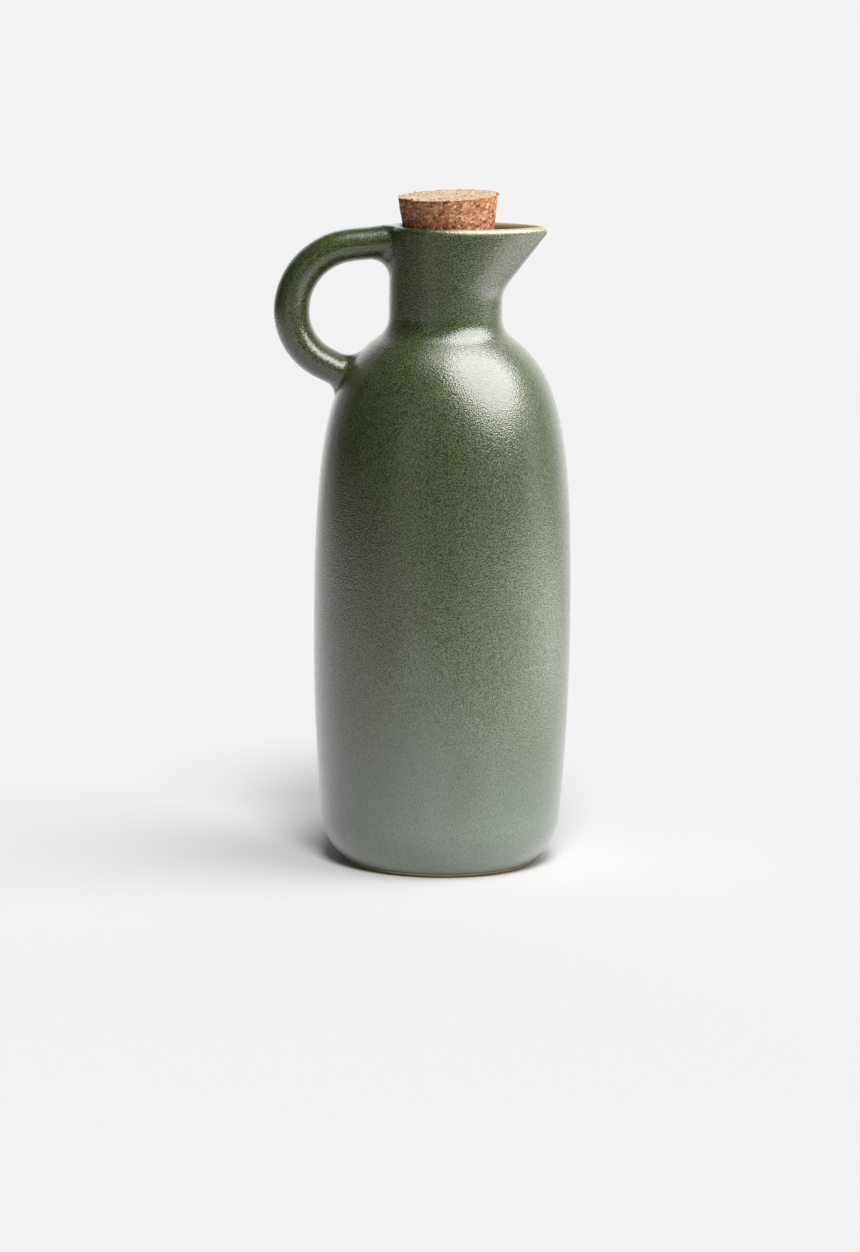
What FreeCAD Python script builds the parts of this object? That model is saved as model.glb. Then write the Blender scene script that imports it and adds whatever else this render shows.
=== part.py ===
import FreeCAD, Part
import math
import os

from FreeCAD import Vector

# Stoneware oil bottle with a loop handle, a pouring spout and a tapered cork.
#
# The bottle is one fired piece: a body turned about the upright axis, a neck that opens into
# a pointed spout, and a pulled handle that joins the neck at the rim and the shoulder below.
# It is hollow, and its underside is recessed inside a foot ring. The cork is its own piece
# and only rests in the mouth.
#
# Millimetres. The origin is the centre of the foot on the ground and +Z is up. The spout
# points to +X and the handle to -X, and XZ is the bottle's plane of symmetry.

# ------------------------------------------------------------------ driving dimensions

# body
BELLY_RADIUS = 38.2          # widest point of the body
BELLY_HEIGHT = 71.8          # height of the widest point
LOWER_WALL_RADIUS = 670.0    # slow bow of the wall between heel and belly
HEEL_RADIUS = 18.9           # rounding from that wall down to the foot
FOOT_RADIUS = 27.6           # outer edge of the foot ring
SHOULDER_HEIGHT = 157.0      # height at which the shoulder turns from bulging to hollow
SHOULDER_LEAN = 54.1         # lean of the shoulder there, degrees from upright
BELLY_FULLNESS = 57.7        # length over which the upper wall holds its upright line
SHOULDER_FULLNESS = 18.1     # length over which the shoulder holds its lean

# neck and rim
NECK_RADIUS = 16.8
NECK_SWEEP = 7.5             # hollow rounding between shoulder and neck
NECK_UPRIGHT = 7.9           # upright neck between that rounding and the spout's root
LIP_OUTER_ROUND = 1.5
LIP_INNER_ROUND = 1.0
LIP_FLAT = 0.1               # least flat left between the two

# spout
SPOUT_RISE = 19.1            # from its root up to the rim
SPOUT_LEAN = 37.2            # lean of the underside, degrees from upright
SPOUT_SWEEP = 5.0            # height over which the underside turns out of the neck
SPOUT_NOSE_RADIUS = 3.5      # plan rounding of the tip at the rim
SPOUT_GROOVE_RADIUS = 1.5    # plan rounding of the groove inside the tip, at the rim

# walls
BODY_WALL = 4.5
NECK_WALL = 2.9
FLOOR = 6.0                  # floor above the recess
FOOT_RING_WIDTH = 4.5
FOOT_RECESS = 1.6
FOOT_ROUND = 0.5

# handle
LOOP_RADIUS = 19.6           # upper turn of the handle's middle line
LOOP_FOOT_RADIUS = 17.3      # its tighter lower turn
LOOP_OUT = 9.0               # from the neck's surface out to the middle of the upper turn
LOOP_DROP = 1.1              # from the rim down to the back of the upper turn
LOOP_RISE = 6.0              # rise of the handle from there to the rim, degrees
LOOP_FOOT_TURN = 62.0        # turn below the far side, before the foot runs straight, degrees
NECK_END_THICKNESS = 9.7     # thickness across the loop, at the neck,
SIDE_THICKNESS = 10.7        # at the far side,
FOOT_END_THICKNESS = 9.8     # and at the shoulder
HANDLE_BREADTH = 12.6        # front to back
BLEND_RIM = 3.0              # rounding where the handle meets the neck, on its back,
BLEND_UNDER = 5.2            # and on its underside
BLEND_CROOK = 6.0            # rounding where it meets the shoulder, inside the loop,
BLEND_FOOT = 4.0             # and outside it
BLEND_SIDE = 1.6             # rounding along both its sides at either end

# cork
CORK_TAPER = 0.139           # radius lost for each millimetre of length
CORK_LENGTH = 25.0
CORK_STAND = 9.2             # height of the middle of its top above the rim
CORK_SEAT_DEPTH = 1.3        # depth below the rim at which the bore takes the cork
CORK_CLEARANCE = 0.3
CORK_OFFSET = 0.75           # towards the spout, at the rim
CORK_LEAN_BACK = 2.6         # lean towards the handle, degrees
CORK_LEAN_FRONT = 2.0        # lean towards the front, degrees
CORK_TOP_EDGE = 0.6
CORK_FOOT_EDGE = 1.0

# construction
FINE = 0.001                 # two points closer than this are one point
NECK_SPARE = 3.5             # neck built above the rim and trimmed back to it
BORE_SPARE = 1.0             # bore cut above the rim
NECK_OVERLAP = 1.0           # upright neck that belongs to the turned body
TURN_STEPS = 6               # sections through each turn of the handle
RUN_STEPS = 3                # and through each of its straight ends
TOUCH = 0.02                 # an edge this close to a face lies on it

# ------------------------------------------------------------------ derived sizes


def unit(degrees):
    """Direction in the XZ plane, measured from +X towards +Z."""
    angle = math.radians(degrees)
    return Vector(math.cos(angle), 0, math.sin(angle))


lean = math.radians(SHOULDER_LEAN)
shoulder_out = unit(SHOULDER_LEAN)
shoulder_up = unit(90 + SHOULDER_LEAN)
shoulder_point = Vector(NECK_RADIUS + NECK_SWEEP * (1 - math.cos(lean)), 0, SHOULDER_HEIGHT)
neck_start = SHOULDER_HEIGHT + NECK_SWEEP * math.sin(lean)
turned_top = neck_start + NECK_OVERLAP
spout_root = neck_start + NECK_UPRIGHT
rim_height = spout_root + SPOUT_RISE
spout_lean = math.radians(SPOUT_LEAN)
bore_radius = NECK_RADIUS - NECK_WALL

loop_centre = NECK_RADIUS + LOOP_OUT
loop_height = rim_height - LOOP_DROP - NECK_END_THICKNESS / 2 - LOOP_RADIUS

seat_radius = bore_radius - CORK_CLEARANCE
cork_top_radius = seat_radius + CORK_TAPER * (CORK_STAND + CORK_SEAT_DEPTH)

# ------------------------------------------------------------------ turned body


def wall_centre():
    """Centre of the slow bow of the lower wall, level with the belly."""
    return Vector(BELLY_RADIUS - LOWER_WALL_RADIUS, 0, BELLY_HEIGHT)


def heel_centre():
    """Centre of the heel's arc: through the foot's edge and tangent to the lower wall."""
    across = Vector(FOOT_RADIUS, 0, 0) - wall_centre()
    span = across.Length
    reach = LOWER_WALL_RADIUS - HEEL_RADIUS
    along = (reach ** 2 - HEEL_RADIUS ** 2 + span ** 2) / (2 * span)
    aside = math.sqrt(reach ** 2 - along ** 2)
    across.normalize()
    return wall_centre() + across * along + Vector(-across.z, 0, across.x) * aside


def arc(start, through, end):
    return Part.Arc(start, through, end).toShape()


def arc_about(centre, radius, first, last):
    """Arc in the XZ plane between two angles in degrees."""
    points = [centre + unit(a) * radius for a in (first, (first + last) / 2, last)]
    return arc(*points)


def wall_edges(wall, bore, foot_height, top_height):
    """The turned wall from foot_height up to top_height, as edges in the XZ plane.

    wall and bore are how far it lies inside the outer surface, below and in the neck.
    """
    heel = heel_centre()
    radius = HEEL_RADIUS - wall
    foot_angle = math.degrees(math.asin((foot_height - heel.z) / radius))
    join = heel - wall_centre()
    join_angle = math.degrees(math.atan2(join.z, join.x))
    heel_arc = arc_about(heel, radius, foot_angle, join_angle)
    wall_arc = arc_about(wall_centre(), LOWER_WALL_RADIUS - wall, join_angle, 0)

    belly = Vector(BELLY_RADIUS - wall, 0, BELLY_HEIGHT)
    turn = shoulder_point - shoulder_out * wall
    upper = Part.BezierCurve()
    upper.setPoles([
        belly,
        belly + Vector(0, 0, BELLY_FULLNESS),
        turn - shoulder_up * SHOULDER_FULLNESS,
        turn,
    ])

    neck = NECK_RADIUS - bore
    sweep = (turn.x - neck) / (1 - math.cos(lean))
    centre = turn + shoulder_out * sweep
    sweep_arc = arc_about(centre, sweep, 180 + SHOULDER_LEAN, 180)
    end = Vector(neck, 0, top_height)
    rise = Part.makeLine(sweep_arc.Vertexes[-1].Point, end)
    return [heel_arc, wall_arc, upper.toShape(), sweep_arc, rise]


def turned(edges):
    """Solid of revolution of edges closed off to the axis."""
    first = edges[0].Vertexes[0].Point
    last = edges[-1].Vertexes[-1].Point
    foot = Vector(0, 0, first.z)
    head = Vector(0, 0, last.z)
    floor = Part.makeLine(foot, first)
    ceiling = Part.makeLine(last, head)
    axis = Part.makeLine(head, foot)
    face = Part.Face(Part.Wire([floor] + edges + [ceiling, axis]))
    return face.revolve(Vector(0, 0, 0), Vector(0, 0, 1), 360)


# ------------------------------------------------------------------ neck and spout


def tip_reach(height, inset):
    """How far the spout's tip line stands from the axis, with a sharp corner at its root."""
    leaning = NECK_RADIUS + (height - spout_root) * math.tan(spout_lean)
    return max(NECK_RADIUS - inset, leaning - inset / math.cos(spout_lean))


def corner_between(first, last, centre):
    """Where the tangents at both ends of an arc meet: the middle pole of that arc."""
    middle = (first + last) * 0.5 - centre
    half = (first - last).Length / 2
    return centre + middle * (1 + half ** 2 / middle.Length ** 2)


def side_turn(inset, nose_radius):
    """Angle in radians through which each side of the outline turns before the nose.

    It is set at the rim, by a side arc that starts square to the axis at the neck's full
    breadth and runs tangent into a nose of the given radius.
    """
    back = NECK_RADIUS - inset
    middle = tip_reach(rim_height, inset) - nose_radius
    side = (middle ** 2 + back ** 2 - nose_radius ** 2) / (2 * (back - nose_radius))
    return math.asin(middle / (side - nose_radius))


def neck_arcs(height, inset, turn):
    """Poles of the five arcs of the neck's outline at a height, each as three points.

    Round at the back and drawn out to a nose at the front: each side is one long arc, and
    the nose is a small arc tangent to both sides. Where the reach equals the radius all of
    them lie on one circle.
    """
    back = NECK_RADIUS - inset
    reach = tip_reach(height, inset)
    flat = 1 - math.cos(turn)
    point = 1 - math.sin(turn)
    span = flat * point - math.cos(turn) * math.sin(turn)
    side = (back * point - math.cos(turn) * reach) / span
    nose = (flat * reach - math.sin(turn) * back) / span

    join = Vector(side * math.sin(turn), back - side * flat, height)
    mirrored = Vector(join.x, -join.y, height)
    left = Vector(0, back, height)
    right = Vector(0, -back, height)
    rear = Vector(-back, 0, height)
    axis = Vector(0, 0, height)
    runs = [
        (right, mirrored, Vector(0, side - back, height)),
        (mirrored, join, Vector(reach - nose, 0, height)),
        (join, left, Vector(0, back - side, height)),
        (left, rear, axis),
        (rear, right, axis),
    ]
    return [(a, corner_between(a, b, centre), b) for a, b, centre in runs]


def neck_solid(foot_height, top_height, inset, nose_radius):
    """The neck and spout between two heights, closed with flat ends.

    The rows of poles stand at such heights that the skin is upright below the spout's root,
    straight above it, and turns between the two over the height of the sweep.
    """
    start = spout_root - SPOUT_SWEEP / 2
    end = spout_root + SPOUT_SWEEP / 2
    rows = [
        foot_height,
        (foot_height + start) / 2,
        spout_root,
        (end + top_height) / 2,
        top_height,
    ]
    turn = side_turn(inset, nose_radius)
    outlines = [neck_arcs(h, inset, turn) for h in rows]
    faces = []
    for index in range(len(outlines[0])):
        poles = [list(outline[index]) for outline in outlines]
        first, corner, last = poles[0]
        slant = (last - first).getAngle(corner - first)
        weights = [[1.0, math.cos(slant), 1.0]] * len(rows)
        knots = [foot_height, start, end, top_height]
        surface = Part.BSplineSurface()
        surface.buildFromPolesMultsKnots(
            poles, [3, 1, 1, 3], [3, 3], knots, [0, 1], False, False, 2, 2, weights)
        faces.append(surface.toShape())
    for height in (foot_height, top_height):
        edges = [e for f in faces for e in f.Edges
                 if all(abs(v.Z - height) < FINE for v in e.Vertexes)]
        faces.append(Part.Face(Part.Wire(Part.__sortEdges__(edges))))
    shell = Part.Shell(faces)
    shell.sewShape()
    return Part.Solid(shell)


# ------------------------------------------------------------------ handle


def run_to(start, direction, x):
    """Point on the line through start that lies at x."""
    return start + direction * ((x - start.x) / direction.x)


def loop_line():
    """The handle's middle line in the XZ plane: out of the neck, round, into the shoulder.

    Both its ends run on past the wall, into what is hollowed out later.
    """
    upper_centre = Vector(-loop_centre, 0, loop_height)
    lower_centre = Vector(LOOP_FOOT_RADIUS - LOOP_RADIUS - loop_centre, 0, loop_height)
    upper = arc_about(upper_centre, LOOP_RADIUS, 90 + LOOP_RISE, 180)
    lower = arc_about(lower_centre, LOOP_FOOT_RADIUS, 180, 180 + LOOP_FOOT_TURN)
    top = upper_centre + unit(90 + LOOP_RISE) * LOOP_RADIUS
    foot = lower_centre + unit(180 + LOOP_FOOT_TURN) * LOOP_FOOT_RADIUS
    inside = run_to(top, unit(LOOP_RISE), -bore_radius / 2)
    buried = run_to(foot, unit(270 + LOOP_FOOT_TURN), -bore_radius)
    return [Part.makeLine(inside, top), upper, lower, Part.makeLine(foot, buried)]


def oval(centre, along, thickness):
    """Oval across the middle line at a point, in four quarters, its breadth front to back."""
    across = Vector(0, 1, 0)
    normal = across.cross(along)
    tip = centre + across * (HANDLE_BREADTH / 2)
    side = centre + normal * (thickness / 2)
    ring = Part.Ellipse(tip, side, centre)
    quarters = [math.radians(quarter) for quarter in (0, 90, 180, 270, 360)]
    return Part.Wire([ring.toShape(a, b) for a, b in zip(quarters, quarters[1:])])


def handle_solid():
    """One skin through ovals along the loop, thickest at its far side."""
    stub, upper, lower, run = loop_line()
    ovals = []

    def add(edge, first, last, steps):
        for step in range(steps):
            share = step / steps
            at = edge.FirstParameter + share * (edge.LastParameter - edge.FirstParameter)
            thickness = first + share * (last - first)
            ovals.append(oval(edge.valueAt(at), edge.tangentAt(at), thickness))

    add(stub, NECK_END_THICKNESS, NECK_END_THICKNESS, RUN_STEPS)
    add(upper, NECK_END_THICKNESS, SIDE_THICKNESS, TURN_STEPS)
    add(lower, SIDE_THICKNESS, FOOT_END_THICKNESS, TURN_STEPS)
    add(run, FOOT_END_THICKNESS, FOOT_END_THICKNESS, RUN_STEPS)
    end = run.Vertexes[-1].Point
    ovals.append(oval(end, run.tangentAt(0), FOOT_END_THICKNESS))
    return Part.makeLoft(ovals, True, False)


# ------------------------------------------------------------------ bottle


def on_face(edge, faces):
    """Whether an edge runs along any of the faces."""
    span = edge.LastParameter - edge.FirstParameter
    points = [edge.valueAt(edge.FirstParameter + span * share) for share in (0.3, 0.5, 0.7)]
    return any(
        all(face.distToShape(Part.Vertex(point))[0] < TOUCH for point in points)
        for face in faces)


def at_height(edge, height):
    return abs(edge.BoundBox.ZMin - height) < FINE and abs(edge.BoundBox.ZMax - height) < FINE


def blend_radius(point):
    """Rounding of the handle's joint at a point of it: tight at the sides, fuller between."""
    if abs(point.y) > FINE:
        return BLEND_SIDE
    stub, _, _, run = loop_line()
    if point.z > loop_height:
        return BLEND_RIM if point.z > stub.Vertexes[0].Z else BLEND_UNDER
    middle = run.Curve.parameter(point)
    return BLEND_CROOK if point.z > run.Curve.value(middle).z else BLEND_FOOT


def blended(whole, handle, skin):
    """The handle's joints rounded, each from the side's radius to the middle's and back."""
    sides = [f for f in handle.Faces if not isinstance(f.Surface, Part.Plane)]
    roundings = []
    for number, edge in enumerate(whole.Edges, 1):
        if on_face(edge, sides) and on_face(edge, skin.Faces):
            ends = (edge.valueAt(edge.FirstParameter), edge.valueAt(edge.LastParameter))
            roundings.append((number, blend_radius(ends[0]), blend_radius(ends[1])))
    document = FreeCAD.newDocument()
    base = document.addObject("Part::Feature", "joined")
    base.Shape = whole
    fillet = document.addObject("Part::Fillet", "blended")
    fillet.Base = base
    fillet.Edges = roundings
    document.recompute()
    return fillet.Shape


def lip_share():
    """Share of the lip's roundings that its wall has room for, at the back and the tip."""
    half_tip = math.tan((math.pi / 2 - spout_lean) / 2)
    back = LIP_OUTER_ROUND + LIP_INNER_ROUND
    tip = LIP_OUTER_ROUND / half_tip + LIP_INNER_ROUND * half_tip
    room = NECK_WALL / math.cos(spout_lean)
    return min(1, (NECK_WALL - LIP_FLAT) / back, (room - LIP_FLAT) / tip)


def make_bottle():
    body = turned(wall_edges(0, 0, 0, turned_top))
    neck = neck_solid(turned_top, rim_height + NECK_SPARE, 0, SPOUT_NOSE_RADIUS)
    handle = handle_solid()
    skin = body.fuse(neck).removeSplitter()
    whole = blended(skin.fuse(handle), handle, skin)

    # trimmed level with the rim
    whole = whole.cut(Part.makeCylinder(rim_height, rim_height, Vector(0, 0, rim_height)))

    # hollow, with the bore and the spout's groove
    hollow = turned(wall_edges(BODY_WALL, NECK_WALL, FOOT_RECESS + FLOOR, turned_top))
    groove = neck_solid(turned_top, rim_height + BORE_SPARE, NECK_WALL, SPOUT_GROOVE_RADIUS)
    whole = whole.cut(hollow.fuse(groove))

    # the lip is rounded outside and in
    share = lip_share()
    rim = [e for e in whole.Edges if at_height(e, rim_height)]
    outer = [e for e in rim if not on_face(e, groove.Faces)]
    whole = whole.makeFillet(LIP_OUTER_ROUND * share, outer)
    rim = [e for e in whole.Edges if at_height(e, rim_height)]
    inner = [e for e in rim if on_face(e, groove.Faces)]
    whole = whole.makeFillet(LIP_INNER_ROUND * share, inner)

    # recess inside the foot ring, with the ring's edges softened
    recess = Part.makeCylinder(FOOT_RADIUS - FOOT_RING_WIDTH, FOOT_RECESS)
    whole = whole.cut(recess).removeSplitter()
    ring = [e for e in whole.Edges if at_height(e, 0)]
    whole = whole.makeFillet(FOOT_ROUND, ring)
    return whole.Solids[0]


# ------------------------------------------------------------------ cork


def make_cork():
    """Tapered stopper, built about the rim's plane and then leaned in the mouth."""
    foot_radius = cork_top_radius - CORK_TAPER * CORK_LENGTH
    cork = Part.makeCone(foot_radius, cork_top_radius, CORK_LENGTH)
    cork.translate(Vector(0, 0, CORK_STAND - CORK_LENGTH))
    top = [e for e in cork.Edges if at_height(e, CORK_STAND)]
    cork = cork.makeFillet(CORK_TOP_EDGE, top)
    foot = [e for e in cork.Edges if at_height(e, CORK_STAND - CORK_LENGTH)]
    cork = cork.makeFillet(CORK_FOOT_EDGE, foot)
    up = Vector(
        -math.tan(math.radians(CORK_LEAN_BACK)), -math.tan(math.radians(CORK_LEAN_FRONT)), 1)
    turn = FreeCAD.Rotation(Vector(0, 0, 1), up)
    cork.Placement = FreeCAD.Placement(Vector(CORK_OFFSET, 0, rim_height), turn)
    return cork.Solids[0]


# ------------------------------------------------------------------ export

parts = {
    "bottle": make_bottle(),
    "cork_stopper": make_cork(),
}
os.makedirs("parts", exist_ok=True)
for name, shape in parts.items():
    shape.exportStep("parts/" + name + ".step")
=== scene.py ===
import math

import bpy
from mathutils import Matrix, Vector


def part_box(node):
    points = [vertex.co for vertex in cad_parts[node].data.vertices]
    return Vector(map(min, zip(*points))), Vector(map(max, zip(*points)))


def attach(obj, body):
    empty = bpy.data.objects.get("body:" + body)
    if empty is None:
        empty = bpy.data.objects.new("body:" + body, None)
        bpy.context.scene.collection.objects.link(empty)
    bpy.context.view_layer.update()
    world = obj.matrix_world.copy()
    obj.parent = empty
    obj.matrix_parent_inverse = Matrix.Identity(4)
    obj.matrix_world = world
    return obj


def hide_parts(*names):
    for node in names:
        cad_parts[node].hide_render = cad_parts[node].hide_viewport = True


# Stoneware oil bottle with a loop handle, a pouring spout and a tapered cork, on a white table
# in soft studio light. Metres throughout, +Z up. The spout points to +X, the handle to -X and
# the camera looks along +Y.

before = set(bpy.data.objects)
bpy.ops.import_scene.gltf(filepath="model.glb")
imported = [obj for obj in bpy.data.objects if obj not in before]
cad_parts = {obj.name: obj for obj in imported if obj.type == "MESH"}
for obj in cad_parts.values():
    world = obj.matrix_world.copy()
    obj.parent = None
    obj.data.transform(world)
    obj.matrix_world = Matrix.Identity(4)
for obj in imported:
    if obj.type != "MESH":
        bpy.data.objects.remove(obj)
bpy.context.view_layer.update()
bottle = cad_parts["bottle"]
cad_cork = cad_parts["cork_stopper"]
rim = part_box("bottle")[1].z

MM = 0.001

# the glaze: the height that its colours run over, how far its tongues reach as a share of that,
# and the sizes of its patterns
GLAZE_RUN = 200 * MM
TONGUE_REACH = 0.3
TONGUE_WIDTH = 26 * MM
GLAZE_GRAIN = 0.4 * MM
PEEL_WIDTH = 0.45 * MM
PEEL_DEPTH = 0.08 * MM

# the handle's root on the neck: what lies further out faces the axis too, but isn't inside
HANDLE_ROOT = -15.5 * MM

# the cork: radius lost per unit of length, radius added at the top because the knocks only go
# inwards, the rounding of its edges, the flat's depth and direction in degrees from +X, how far
# chips reach from the top's edge, and the fineness of its mesh
CORK_TAPER = 0.139
CORK_SPARE = 0.1 * MM
CORK_EDGE = 0.6 * MM
CORK_FLAT_DEPTH = 0.75 * MM
CORK_FLAT_TURN = 212
CHIPPED_EDGE = 1.6 * MM
CORK_MESH = 0.3 * MM

# cork granules are about a millimetre across, and their cells far finer: drawn coarse, to show
GRANULE = 0.9 * MM
GRANULE_BEND = 1.6 * MM
CELL = 0.45 * MM

TABLE_RADIUS = 1.4
LAMP_DISTANCE = 1.6
BOTTLE_MIDDLE = Vector((0, 0, 0.1))

# ------------------------------------------------------------------ materials


def colour(code):
    """Linear colour of an sRGB hex value."""
    channels = [int(code[i:i + 2], 16) / 255 for i in (1, 3, 5)]
    return [c / 12.92 if c <= 0.04045 else ((c + 0.055) / 1.055) ** 2.4 for c in channels] + [1]


def wire(tree, node, inputs):
    """Set a node's inputs, or link them. A linked node gives its first output in use."""
    for name, value in inputs.items():
        if isinstance(value, bpy.types.Node):
            value = next(out for out in value.outputs if out.enabled)
        if isinstance(value, bpy.types.NodeSocket):
            tree.links.new(value, node.inputs[name])
        else:
            node.inputs[name].default_value = value


def add(tree, kind, settings, inputs):
    """A node with its settings and inputs. Its stops are the colours along a ramp."""
    node = tree.nodes.new("ShaderNode" + kind)
    for name, value in settings.items():
        if name == "stops":
            band = node.color_ramp.elements
            band.remove(band[1])
            band[0].position, band[0].color = value[0]
            for place, shade in value[1:]:
                band.new(place).color = shade
        else:
            setattr(node, name, value)
    wire(tree, node, inputs)
    return node


def new_material(name):
    """A material with its tree, its shader and a node of object coordinates."""
    material = bpy.data.materials.new(name)
    material.use_nodes = True
    tree = material.node_tree
    return material, tree, tree.nodes["Principled BSDF"], add(tree, "TexCoord", {}, {})


def assign(piece, material):
    """Give a piece one material all over."""
    piece.data.materials.clear()
    piece.data.materials.append(material)


# settings that many nodes share; a mix of colours has its share at input 0, and the colours that
# it goes from and to at inputs 6 and 7
SMOOTH = {"interpolation_type": "SMOOTHSTEP"}
MIX = {"data_type": "RGBA"}
TINT = {"data_type": "RGBA", "blend_type": "MULTIPLY"}


def running_glaze(tree, z, tongues, grain):
    """Green above that runs down in tongues over grey-green, speckled where it lies thick."""
    height = add(tree, "Math", {"operation": "MULTIPLY_ADD"},
                 {0: z, 1: 1 / GLAZE_RUN, 2: -TONGUE_REACH / 2})
    level = add(tree, "Math", {"operation": "MULTIPLY_ADD"},
                {0: tongues, 1: TONGUE_REACH, 2: height})
    glaze = add(tree, "ValToRGB", {"stops": [
        (0.05, colour("#747d73")),
        (0.15, colour("#677065")),
        (0.25, colour("#596253")),
        (0.37, colour("#424b35")),
        (0.5, colour("#38422a")),
        (0.7, colour("#3b442c")),
        (0.95, colour("#343d21")),
    ]}, {"Fac": level})

    lighter = add(tree, "MapRange", SMOOTH, {"Value": grain, "From Min": 0.3, "From Max": 0.7})
    speckle = add(tree, "Mix", MIX, {0: lighter, 6: (0.4, 0.4, 0.4, 1), 7: (1.75, 1.75, 1.6, 1)})
    thick = add(tree, "MapRange", SMOOTH, {
        "Value": level, "From Min": 0.15, "From Max": 0.4, "To Min": 0.25, "To Max": 1})
    return add(tree, "Mix", TINT, {0: thick, 6: glaze, 7: speckle})


def brown_inside_shaded(tree, texture, x, glaze):
    """Dark olive-brown inside the mouth: a brown inner glaze, darkened further as painted shade of
    the hollow.
    """
    outward = add(tree, "VectorMath", {"operation": "MULTIPLY"},
                  {0: texture.outputs["Object"], 1: (1, 1, 0)})
    facing = add(tree, "VectorMath", {"operation": "DOT_PRODUCT"},
                 {0: outward, 1: texture.outputs["Normal"]}).outputs["Value"]
    turned_in = add(tree, "MapRange", SMOOTH,
                    {"Value": facing, "From Min": -1 * MM, "From Max": -5 * MM})
    clear_of_handle = add(tree, "Math", {"operation": "GREATER_THAN"}, {0: x, 1: HANDLE_ROOT})
    inside = add(tree, "Math", {"operation": "MULTIPLY"}, {0: turned_in, 1: clear_of_handle})
    # painted shade: the mouth's hollow darker than the glaze outside
    return add(tree, "Mix", MIX, {0: inside, 6: glaze, 7: colour("#605c40")})


def lip_break_and_highlight(tree, x, z, grain, glaze):
    """An ochre band on the lip, and a cream crest on the side the key lamp lights: partly glaze
    break, partly painted highlight; it fades at the spout's tip.
    """
    ragged = add(tree, "Math", {"operation": "MULTIPLY_ADD"}, {0: grain, 1: 1.2 * MM, 2: z})
    near_spout = add(tree, "MapRange", SMOOTH,
                     {"Value": x, "From Min": -6 * MM, "From Max": 8 * MM})
    band = add(tree, "MapRange", SMOOTH, {
        "Value": ragged, "From Min": rim - 1.5 * MM, "From Max": rim - 0.1 * MM})
    ochre = add(tree, "Math", {"operation": "MULTIPLY"}, {0: band, 1: near_spout})
    glaze = add(tree, "Mix", MIX, {0: ochre, 6: glaze, 7: colour("#838260")})

    # the cream crest: partly glaze break, partly a painted highlight, kept to the lamp-lit side
    # towards the spout
    crest = add(tree, "MapRange", SMOOTH, {
        "Value": ragged, "From Min": rim + 0.2 * MM, "From Max": rim + 0.6 * MM})
    front = add(tree, "MapRange", SMOOTH, {"Value": x, "From Min": -1 * MM, "From Max": 5 * MM})
    cream_and_highlight = add(tree, "Math", {"operation": "MULTIPLY"}, {0: crest, 1: front})
    tip = add(tree, "MapRange", SMOOTH, {
        "Value": x, "From Min": 16 * MM, "From Max": 25 * MM, "To Min": 1, "To Max": 0.55})
    cream_and_highlight = add(tree, "Math", {"operation": "MULTIPLY"}, {0: cream_and_highlight, 1: tip})
    return add(tree, "Mix", MIX, {0: cream_and_highlight, 6: glaze, 7: colour("#96836a")}), cream_and_highlight


def bare_foot(tree, z, tongues, glaze):
    """A dark brown line at the glaze's lower edge, just above the table, then bare buff clay."""
    wavy = add(tree, "Math", {"operation": "MULTIPLY_ADD"}, {0: tongues, 1: 0.5 * MM, 2: z})
    dark_line = add(tree, "MapRange", SMOOTH,
                 {"Value": wavy, "From Min": 1.8 * MM, "From Max": 1.45 * MM})
    # a darker brown line painted just above the bare band
    glaze = add(tree, "Mix", MIX, {0: dark_line, 6: glaze, 7: colour("#40392c")})
    bare = add(tree, "MapRange", SMOOTH,
               {"Value": wavy, "From Min": 1.35 * MM, "From Max": 1.15 * MM})
    return add(tree, "Mix", MIX, {0: bare, 6: glaze, 7: colour("#cdb48a")}), bare


def glazed_stoneware():
    """Thrown stoneware under a satin moss-green glaze, fired in reduction.

    The glaze lies thick and green above and runs out to grey-green towards the foot. It breaks
    to ochre where it thins on the lip of the spout; the lip's crest is cream, partly the glaze's
    break and partly a painted highlight on the side the key lamp lights. Inside the mouth it is
    brown, darkened further as painted shade of the hollow. Its skin has a fine orange peel that
    grains the highlights. A dark brown line runs just above the foot, which is wiped bare to
    buff clay.
    Grain and peel are finer on the real glaze, and drawn this coarse so that they show.
    """
    material, tree, shader, texture = new_material("glazed_stoneware")
    place = texture.outputs["Object"]
    x, _, z = add(tree, "SeparateXYZ", {}, {0: place}).outputs
    tall = add(tree, "VectorMath", {"operation": "MULTIPLY"}, {0: place, 1: (1, 1, 0.4)})
    tongues = add(tree, "TexNoise", {}, {"Vector": tall, "Scale": 1 / TONGUE_WIDTH, "Detail": 2})
    grain = add(tree, "TexNoise", {}, {"Vector": place, "Scale": 1 / GLAZE_GRAIN, "Detail": 0})

    glaze = running_glaze(tree, z, tongues, grain)
    glaze = brown_inside_shaded(tree, texture, x, glaze)
    glaze, cream_and_highlight = lip_break_and_highlight(tree, x, z, grain, glaze)
    skin, bare = bare_foot(tree, z, tongues, glaze)

    # a cloudy glaze body under a glassy skin: thin over the cream crest with its painted highlight,
    # missing from the clay
    thin = add(tree, "Math", {"operation": "MULTIPLY"}, {0: cream_and_highlight, 1: 0.8})
    dry = add(tree, "Math", {"operation": "MAXIMUM"}, {0: bare, 1: thin})
    peel = add(tree, "TexNoise", {}, {"Vector": place, "Scale": 1 / PEEL_WIDTH, "Detail": 0})
    bump = add(tree, "Bump", {}, {"Height": peel, "Distance": PEEL_DEPTH, "Strength": 1.0})
    wire(tree, shader, {
        "Base Color": skin,
        "Roughness": add(tree, "MapRange", {}, {"Value": dry, "To Min": 0.34, "To Max": 0.85}),
        "Normal": bump,
        "IOR": 1.5,
        "Coat Weight": add(tree, "MapRange", {}, {"Value": dry, "To Min": 1.0, "To Max": 0.0}),
        "Coat Normal": bump,
        "Coat Roughness": 0.12,
        "Coat IOR": 1.5,
    })
    return material


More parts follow.
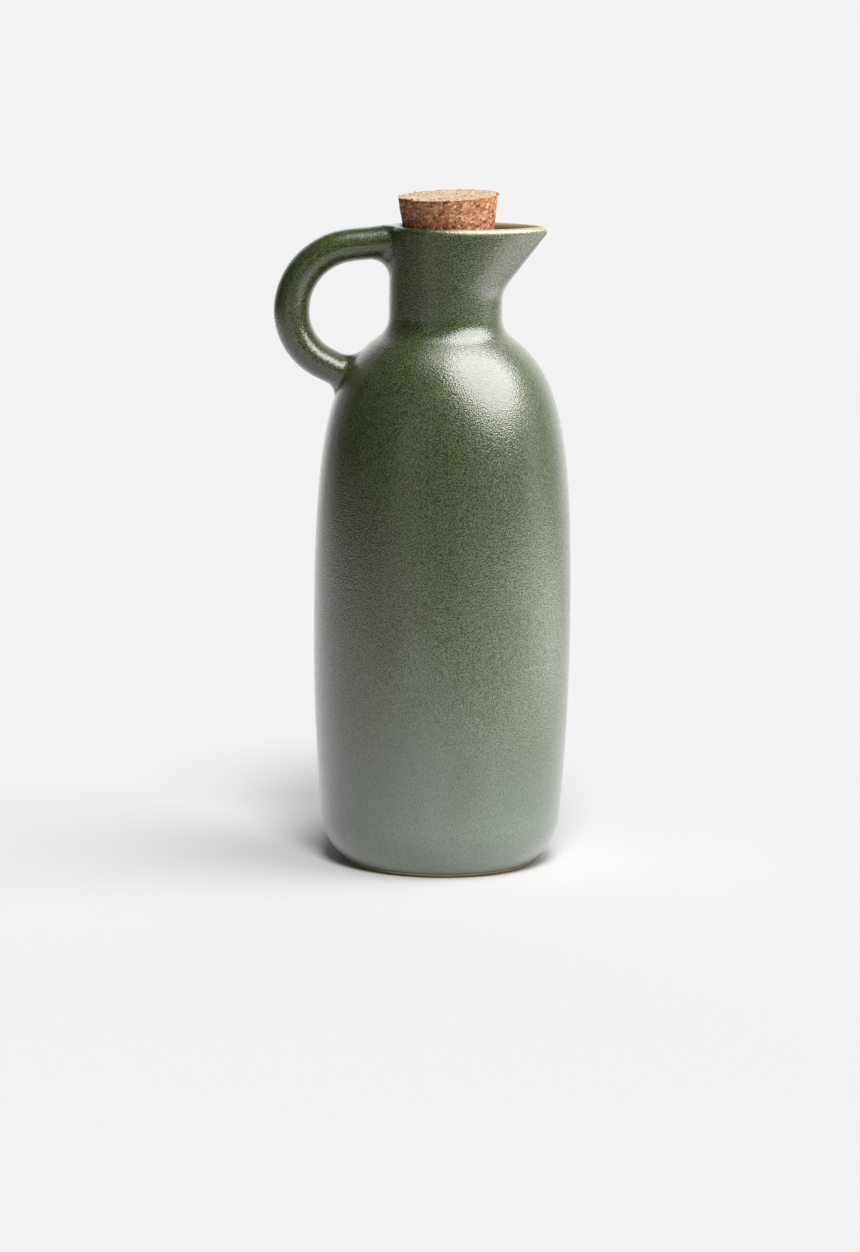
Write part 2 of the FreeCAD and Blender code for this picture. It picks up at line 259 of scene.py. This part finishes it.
def agglomerated_cork():
    """Stopper cork pressed from granules: warm brown, each granule its own shade.

    Dark pits and creases lie between them, and the top is paler: partly the sawn face's own tone,
    partly painted light from above.
    """
    material, tree, shader, texture = new_material("agglomerated_cork")
    place = texture.outputs["Object"]

    # flakes lying aslant down the side
    leaned = add(tree, "VectorRotate", {"rotation_type": "Y_AXIS"},
                 {"Vector": place, "Angle": math.radians(32)})
    flat = add(tree, "VectorMath", {"operation": "MULTIPLY"}, {0: leaned, 1: (0.55, 0.8, 1.15)})
    warp = add(tree, "TexNoise", {}, {"Vector": place, "Scale": 1 / (2 * MM), "Detail": 3})
    bent = add(tree, "VectorMath", {"operation": "MULTIPLY_ADD"},
               {0: warp.outputs["Color"], 1: [GRANULE_BEND] * 3, 2: flat})
    granules = add(tree, "TexVoronoi", {}, {"Vector": bent, "Scale": 1 / GRANULE})
    shade = add(tree, "SeparateColor", {}, {0: granules.outputs["Color"]})
    tan = add(tree, "ValToRGB", {"stops": [
        (0.0, colour("#8f5a3c")),
        (0.35, colour("#a97452")),
        (0.7, colour("#bb8a63")),
        (1.0, colour("#cda27b")),
    ]}, {"Fac": shade.outputs["Red"]})

    # the fine cells inside the granules
    cells = add(tree, "TexNoise", {}, {"Vector": flat, "Scale": 1 / CELL, "Detail": 2})
    lighter = add(tree, "MapRange", SMOOTH, {"Value": cells, "From Min": 0.3, "From Max": 0.7})
    fleck = add(tree, "Mix", MIX, {0: lighter, 6: (0.72, 0.69, 0.66, 1), 7: (1.2, 1.22, 1.25, 1)})
    tan = add(tree, "Mix", TINT, {0: 1.0, 6: tan, 7: fleck})

    # the upward-facing top painted paler: partly the sawn face's own tone, partly painted light
    # from above
    facing = add(tree, "SeparateXYZ", {}, {0: texture.outputs["Normal"]})
    sawn_and_lit_top = add(tree, "MapRange", SMOOTH,
               {"Value": facing.outputs["Z"], "From Min": 0.55, "From Max": 0.9})
    sawn_and_lit_tone = add(tree, "Mix", MIX, {0: 0.72, 6: tan, 7: colour("#a89b88")})
    tan = add(tree, "Mix", MIX, {0: sawn_and_lit_top, 6: tan, 7: sawn_and_lit_tone})

    # rust-brown crevices between some of the granules, and a few deep pits
    edge = add(tree, "TexVoronoi", {"feature": "DISTANCE_TO_EDGE"},
               {"Vector": bent, "Scale": 1 / GRANULE})
    open_joint = add(tree, "MapRange", SMOOTH,
                     {"Value": edge, "From Min": 0.13, "From Max": 0.02})
    patchy = add(tree, "MapRange", SMOOTH, {
        "Value": warp, "From Min": 0.42, "From Max": 0.6, "To Min": 0.1, "To Max": 0.85})
    crease = add(tree, "Math", {"operation": "MULTIPLY"}, {0: open_joint, 1: patchy})
    tan = add(tree, "Mix", MIX, {0: crease, 6: tan, 7: colour("#63371f")})
    hollow = add(tree, "TexNoise", {}, {"Vector": flat, "Scale": 1 / (1.1 * MM), "Detail": 3})
    pit = add(tree, "MapRange", SMOOTH,
              {"Value": hollow, "From Min": 0.33, "From Max": 0.27, "To Max": 0.9})
    tan = add(tree, "Mix", MIX, {0: pit, 6: tan, 7: colour("#422217")})

    bump = add(tree, "Bump", {}, {"Height": cells, "Distance": 0.2 * MM, "Strength": 0.7})
    wire(tree, shader, {
        "Base Color": tan,
        "Roughness": 0.8,
        "Normal": bump,
        "IOR": 1.4,
        "Specular IOR Level": 0.3,
    })
    return material


def white_table():
    """Matt white table top that fades into the white behind it."""
    material, tree, shader, texture = new_material("white_table")
    wire(tree, shader, {
        "Base Color": colour("#d3d3d3"),
        "Roughness": 0.9,
        "Specular IOR Level": 0.0,
    })
    across = add(tree, "VectorMath", {"operation": "LENGTH"}, {0: texture.outputs["Object"]})
    far = add(tree, "MapRange", SMOOTH,
              {"Value": across.outputs["Value"], "From Min": 0.5, "From Max": 1.35})
    edge = add(tree, "MixShader", {}, {
        0: far, 1: shader, 2: add(tree, "BsdfTransparent", {}, {})})
    wire(tree, tree.nodes["Material Output"], {"Surface": edge})
    return material


# ------------------------------------------------------------------ cork


def end_disc(node, side):
    """Middle and outward direction of a node's flat end: side is 1 for the top, -1 for the foot."""
    normal = Vector()
    centre = Vector()
    whole = 0.0
    for face in node.data.polygons:
        if face.normal.z * side > 0.99:
            normal += face.normal * face.area
            centre += face.center * face.area
            whole += face.area
    return centre / whole, normal.normalized()


def cork_blank(top, foot, up, top_radius):
    """Tapered cork with rounded edges and a flat cut down its front left."""
    length = (top - foot).length
    bpy.ops.object.select_all(action="DESELECT")
    bpy.ops.mesh.primitive_cone_add(
        vertices=96, radius1=top_radius - CORK_TAPER * length, radius2=top_radius + CORK_SPARE,
        depth=length, location=(top + foot) / 2, rotation=up.to_track_quat("Z", "Y").to_euler())
    cork = bpy.context.object
    cork.name = "cork"
    bpy.ops.object.transform_apply()

    turn = math.radians(CORK_FLAT_TURN)
    slope = Vector((math.cos(turn), math.sin(turn), -CORK_TAPER)).normalized()
    bpy.ops.object.mode_set(mode="EDIT")
    bpy.ops.mesh.select_all(action="SELECT")
    bpy.ops.mesh.bevel(offset=CORK_EDGE, segments=3, affect="EDGES", clamp_overlap=True)
    bpy.ops.mesh.select_all(action="SELECT")
    bpy.ops.mesh.bisect(
        plane_co=top + slope * (top_radius - CORK_FLAT_DEPTH), plane_no=slope,
        use_fill=True, clear_outer=True)
    bpy.ops.object.mode_set(mode="OBJECT")

    cork.data.remesh_voxel_size = CORK_MESH
    bpy.ops.object.voxel_remesh()
    return cork


def mark_top_edge(cork, top, up, top_radius):
    """A vertex group that is full on the rim of the cork's top and fades away from it."""
    ring = cork.vertex_groups.new(name="top_edge")
    for v in cork.data.vertices:
        below = (top - v.co).dot(up)
        inward = top_radius - (v.co - top).cross(up).length
        near = 1 - math.hypot(max(below, 0), max(inward, 0)) / CHIPPED_EDGE
        if near > 0:
            ring.add([v.index], near, "REPLACE")


def press(piece, name, kind, size, depth, stops=None, group=""):
    """Push the skin inwards by up to depth, in lumps of the given size.

    Stops sharpen the lumps, as pairs of a place in the texture and how much is left standing.
    """
    texture = bpy.data.textures.new(name, kind)
    texture.noise_scale = size
    if kind == "VORONOI":
        # second nearest point less nearest, which is lowest between the cells
        texture.weight_1 = -1.0
        texture.weight_2 = 1.0
    if stops:
        texture.use_color_ramp = True
        band = texture.color_ramp.elements
        for element, (position, value) in zip(band, stops):
            element.position = position
            element.color = (value, value, value, 1)
    modifier = piece.modifiers.new(name, "DISPLACE")
    modifier.texture = texture
    modifier.strength = depth
    modifier.mid_level = 1.0
    modifier.vertex_group = group
    bpy.ops.object.modifier_apply(modifier=name)


def cork_stopper():
    """Tapered cork where the CAD one sits, a little out of round, chipped, creased and pitted."""
    top, up = end_disc(cad_cork, 1)
    foot = end_disc(cad_cork, -1)[0]
    top_radius = max((v.co - foot).cross(up).length for v in cad_cork.data.vertices)
    cork = cork_blank(top, foot, up, top_radius)

    mark_top_edge(cork, top, up, top_radius)
    press(cork, "out_of_round", "CLOUDS", 9 * MM, 0.35 * MM)
    press(cork, "chips", "CLOUDS", 1.7 * MM, 0.3 * MM, group="top_edge")
    press(cork, "creases", "VORONOI", 1.9 * MM, 0.12 * MM, [(0.0, 0.0), (0.35, 1.0)])
    press(cork, "pits", "CLOUDS", 1.3 * MM, 0.5 * MM, [(0.3, 0.0), (0.38, 1.0)])
    bpy.ops.object.shade_smooth()
    assign(cork, agglomerated_cork())
    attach(cork, "root")
    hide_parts("cork_stopper")
    return cork


assign(bottle, glazed_stoneware())
cork = cork_stopper()

# ------------------------------------------------------------------ table and room

bpy.ops.object.select_all(action="DESELECT")
bpy.ops.mesh.primitive_circle_add(vertices=96, radius=TABLE_RADIUS, fill_type="NGON")
table = bpy.context.object
table.name = "table"
assign(table, white_table())

# the walls' brightness round the bottle, by share of a turn: 0 is the camera's side, 0.25 the
# handle's, 0.5 the far side and 0.75 the spout's
DARK = 0.01
FAINT = 0.35
WHITE = 1.1
WALLS = [
    # a faint strip at the front left, in the dark
    (0.03, DARK),
    (0.06, FAINT),
    (0.12, FAINT),
    (0.15, DARK),
    # white paper behind, dimmer at its left end
    (0.33, DARK),
    (0.36, 0.3),
    (0.4, 0.3),
    (0.43, WHITE),
    (0.61, WHITE),
    # a dim gap, then a white wall at the right
    (0.64, 0.5),
    (0.71, 0.5),
    (0.73, WHITE),
    (0.755, WHITE),
    (0.785, DARK),
]


def studio_room():
    """A dark room with low walls of white paper round the bottle, some bright and some dim."""
    world = bpy.data.worlds.new("studio")
    world.use_nodes = True
    tree = world.node_tree
    direction = add(tree, "TexCoord", {}, {}).outputs["Generated"]
    across, away, up = add(tree, "SeparateXYZ", {}, {0: direction}).outputs
    turned = add(tree, "Math", {"operation": "ARCTAN2"}, {0: across, 1: away})
    share = add(tree, "MapRange", {},
                {"Value": turned, "From Min": -math.pi, "From Max": math.pi})
    walls = add(tree, "ValToRGB",
                {"stops": [(place, (level, level, level, 1)) for place, level in WALLS]},
                {"Fac": share})

    # the walls end between 27 and 38 degrees up, whose sines these are
    low = add(tree, "MapRange", SMOOTH, {"Value": up, "From Min": 0.62, "From Max": 0.46})
    room = add(tree, "Mix", MIX, {0: low, 6: (0.02, 0.02, 0.02, 1), 7: walls})

    # plain white for the camera, straight or through something clear
    path = add(tree, "LightPath", {}, {}).outputs
    seen = add(tree, "Math", {"operation": "MAXIMUM"},
               {0: path["Is Camera Ray"], 1: path["Is Transmission Ray"]})
    sky = add(tree, "Mix", MIX, {0: seen, 6: room, 7: colour("#f2f2f2")})
    wire(tree, tree.nodes["Background"], {"Color": sky})
    return world


bpy.context.scene.world = studio_room()

# ------------------------------------------------------------------ lamps


def receivers(name, pieces):
    """A collection of the pieces that a lamp lights."""
    group = bpy.data.collections.new(name)
    for piece in pieces:
        group.objects.link(piece)
    return group


def lamp(name, kind, power, lit):
    """A lamp that the camera doesn't see and that lights only the given pieces."""
    light = bpy.data.objects.new(name, bpy.data.lights.new(name, kind))
    light.data.energy = power
    light.visible_camera = False
    light.light_linking.receiver_collection = lit
    bpy.context.scene.collection.objects.link(light)
    return light


def hang(light, azimuth, elevation):
    """Hang a lamp, aimed at the bottle; azimuth runs from the camera's side towards +X."""
    turn = math.radians(azimuth)
    lift = math.radians(elevation)
    flat = math.cos(lift)
    out = Vector((math.sin(turn) * flat, -math.cos(turn) * flat, math.sin(lift)))
    light.location = out * LAMP_DISTANCE + BOTTLE_MIDDLE
    light.rotation_euler = out.to_track_quat("Z", "Y").to_euler()


on_object = receivers("lit_object", [bottle, cork])
on_table = receivers("lit_table", [table])

for name, azimuth, elevation, size, power in [
    ("key_softbox", 67, 51, (2.0, 2.1), 84),
    ("top_softbox", 0, 85, (0.86, 0.86), 4.5),
    ("back_softbox", 140, 52, (0.9, 0.9), 1.6),
]:
    softbox = lamp(name, "AREA", power, on_object)
    softbox.data.shape = "ELLIPSE"
    softbox.data.size, softbox.data.size_y = size
    hang(softbox, azimuth, elevation)

# the table has its own lamps, so that its white and its shadow are set apart from the glaze
for name, azimuth, elevation, spread, power in [
    ("table_key", 76, 62, 44, 1.7),
    ("table_fill", 6, 54, 20, 2.95),
]:
    sun = lamp(name, "SUN", power, on_table)
    sun.data.angle = math.radians(spread)
    hang(sun, azimuth, elevation)

# white boards lying on the table, which light the bottle from below
for name, place, size, power in [
    ("right_board", (0.55, -0.05, 0.004), (0.5, 0.6), 1.95),
    ("front_board", (0.22, -0.33, 0.004), (0.22, 0.34), 0.2),
]:
    board = lamp(name, "AREA", power, on_object)
    board.data.shape = "RECTANGLE"
    board.data.size, board.data.size_y = size
    board.location = place
    board.rotation_euler = (math.pi, 0, 0)

# ------------------------------------------------------------------ camera

lens = bpy.data.cameras.new("camera")
lens.lens = 149.06
camera = bpy.data.objects.new("camera", lens)
camera.location = (0, -1.5243, 0.3229)
camera.rotation_euler = [math.radians(a) for a in (80.598, -0.602, 0.234)]
bpy.context.scene.collection.objects.link(camera)
bpy.context.scene.camera = camera

bpy.context.scene.view_settings.view_transform = "Standard"
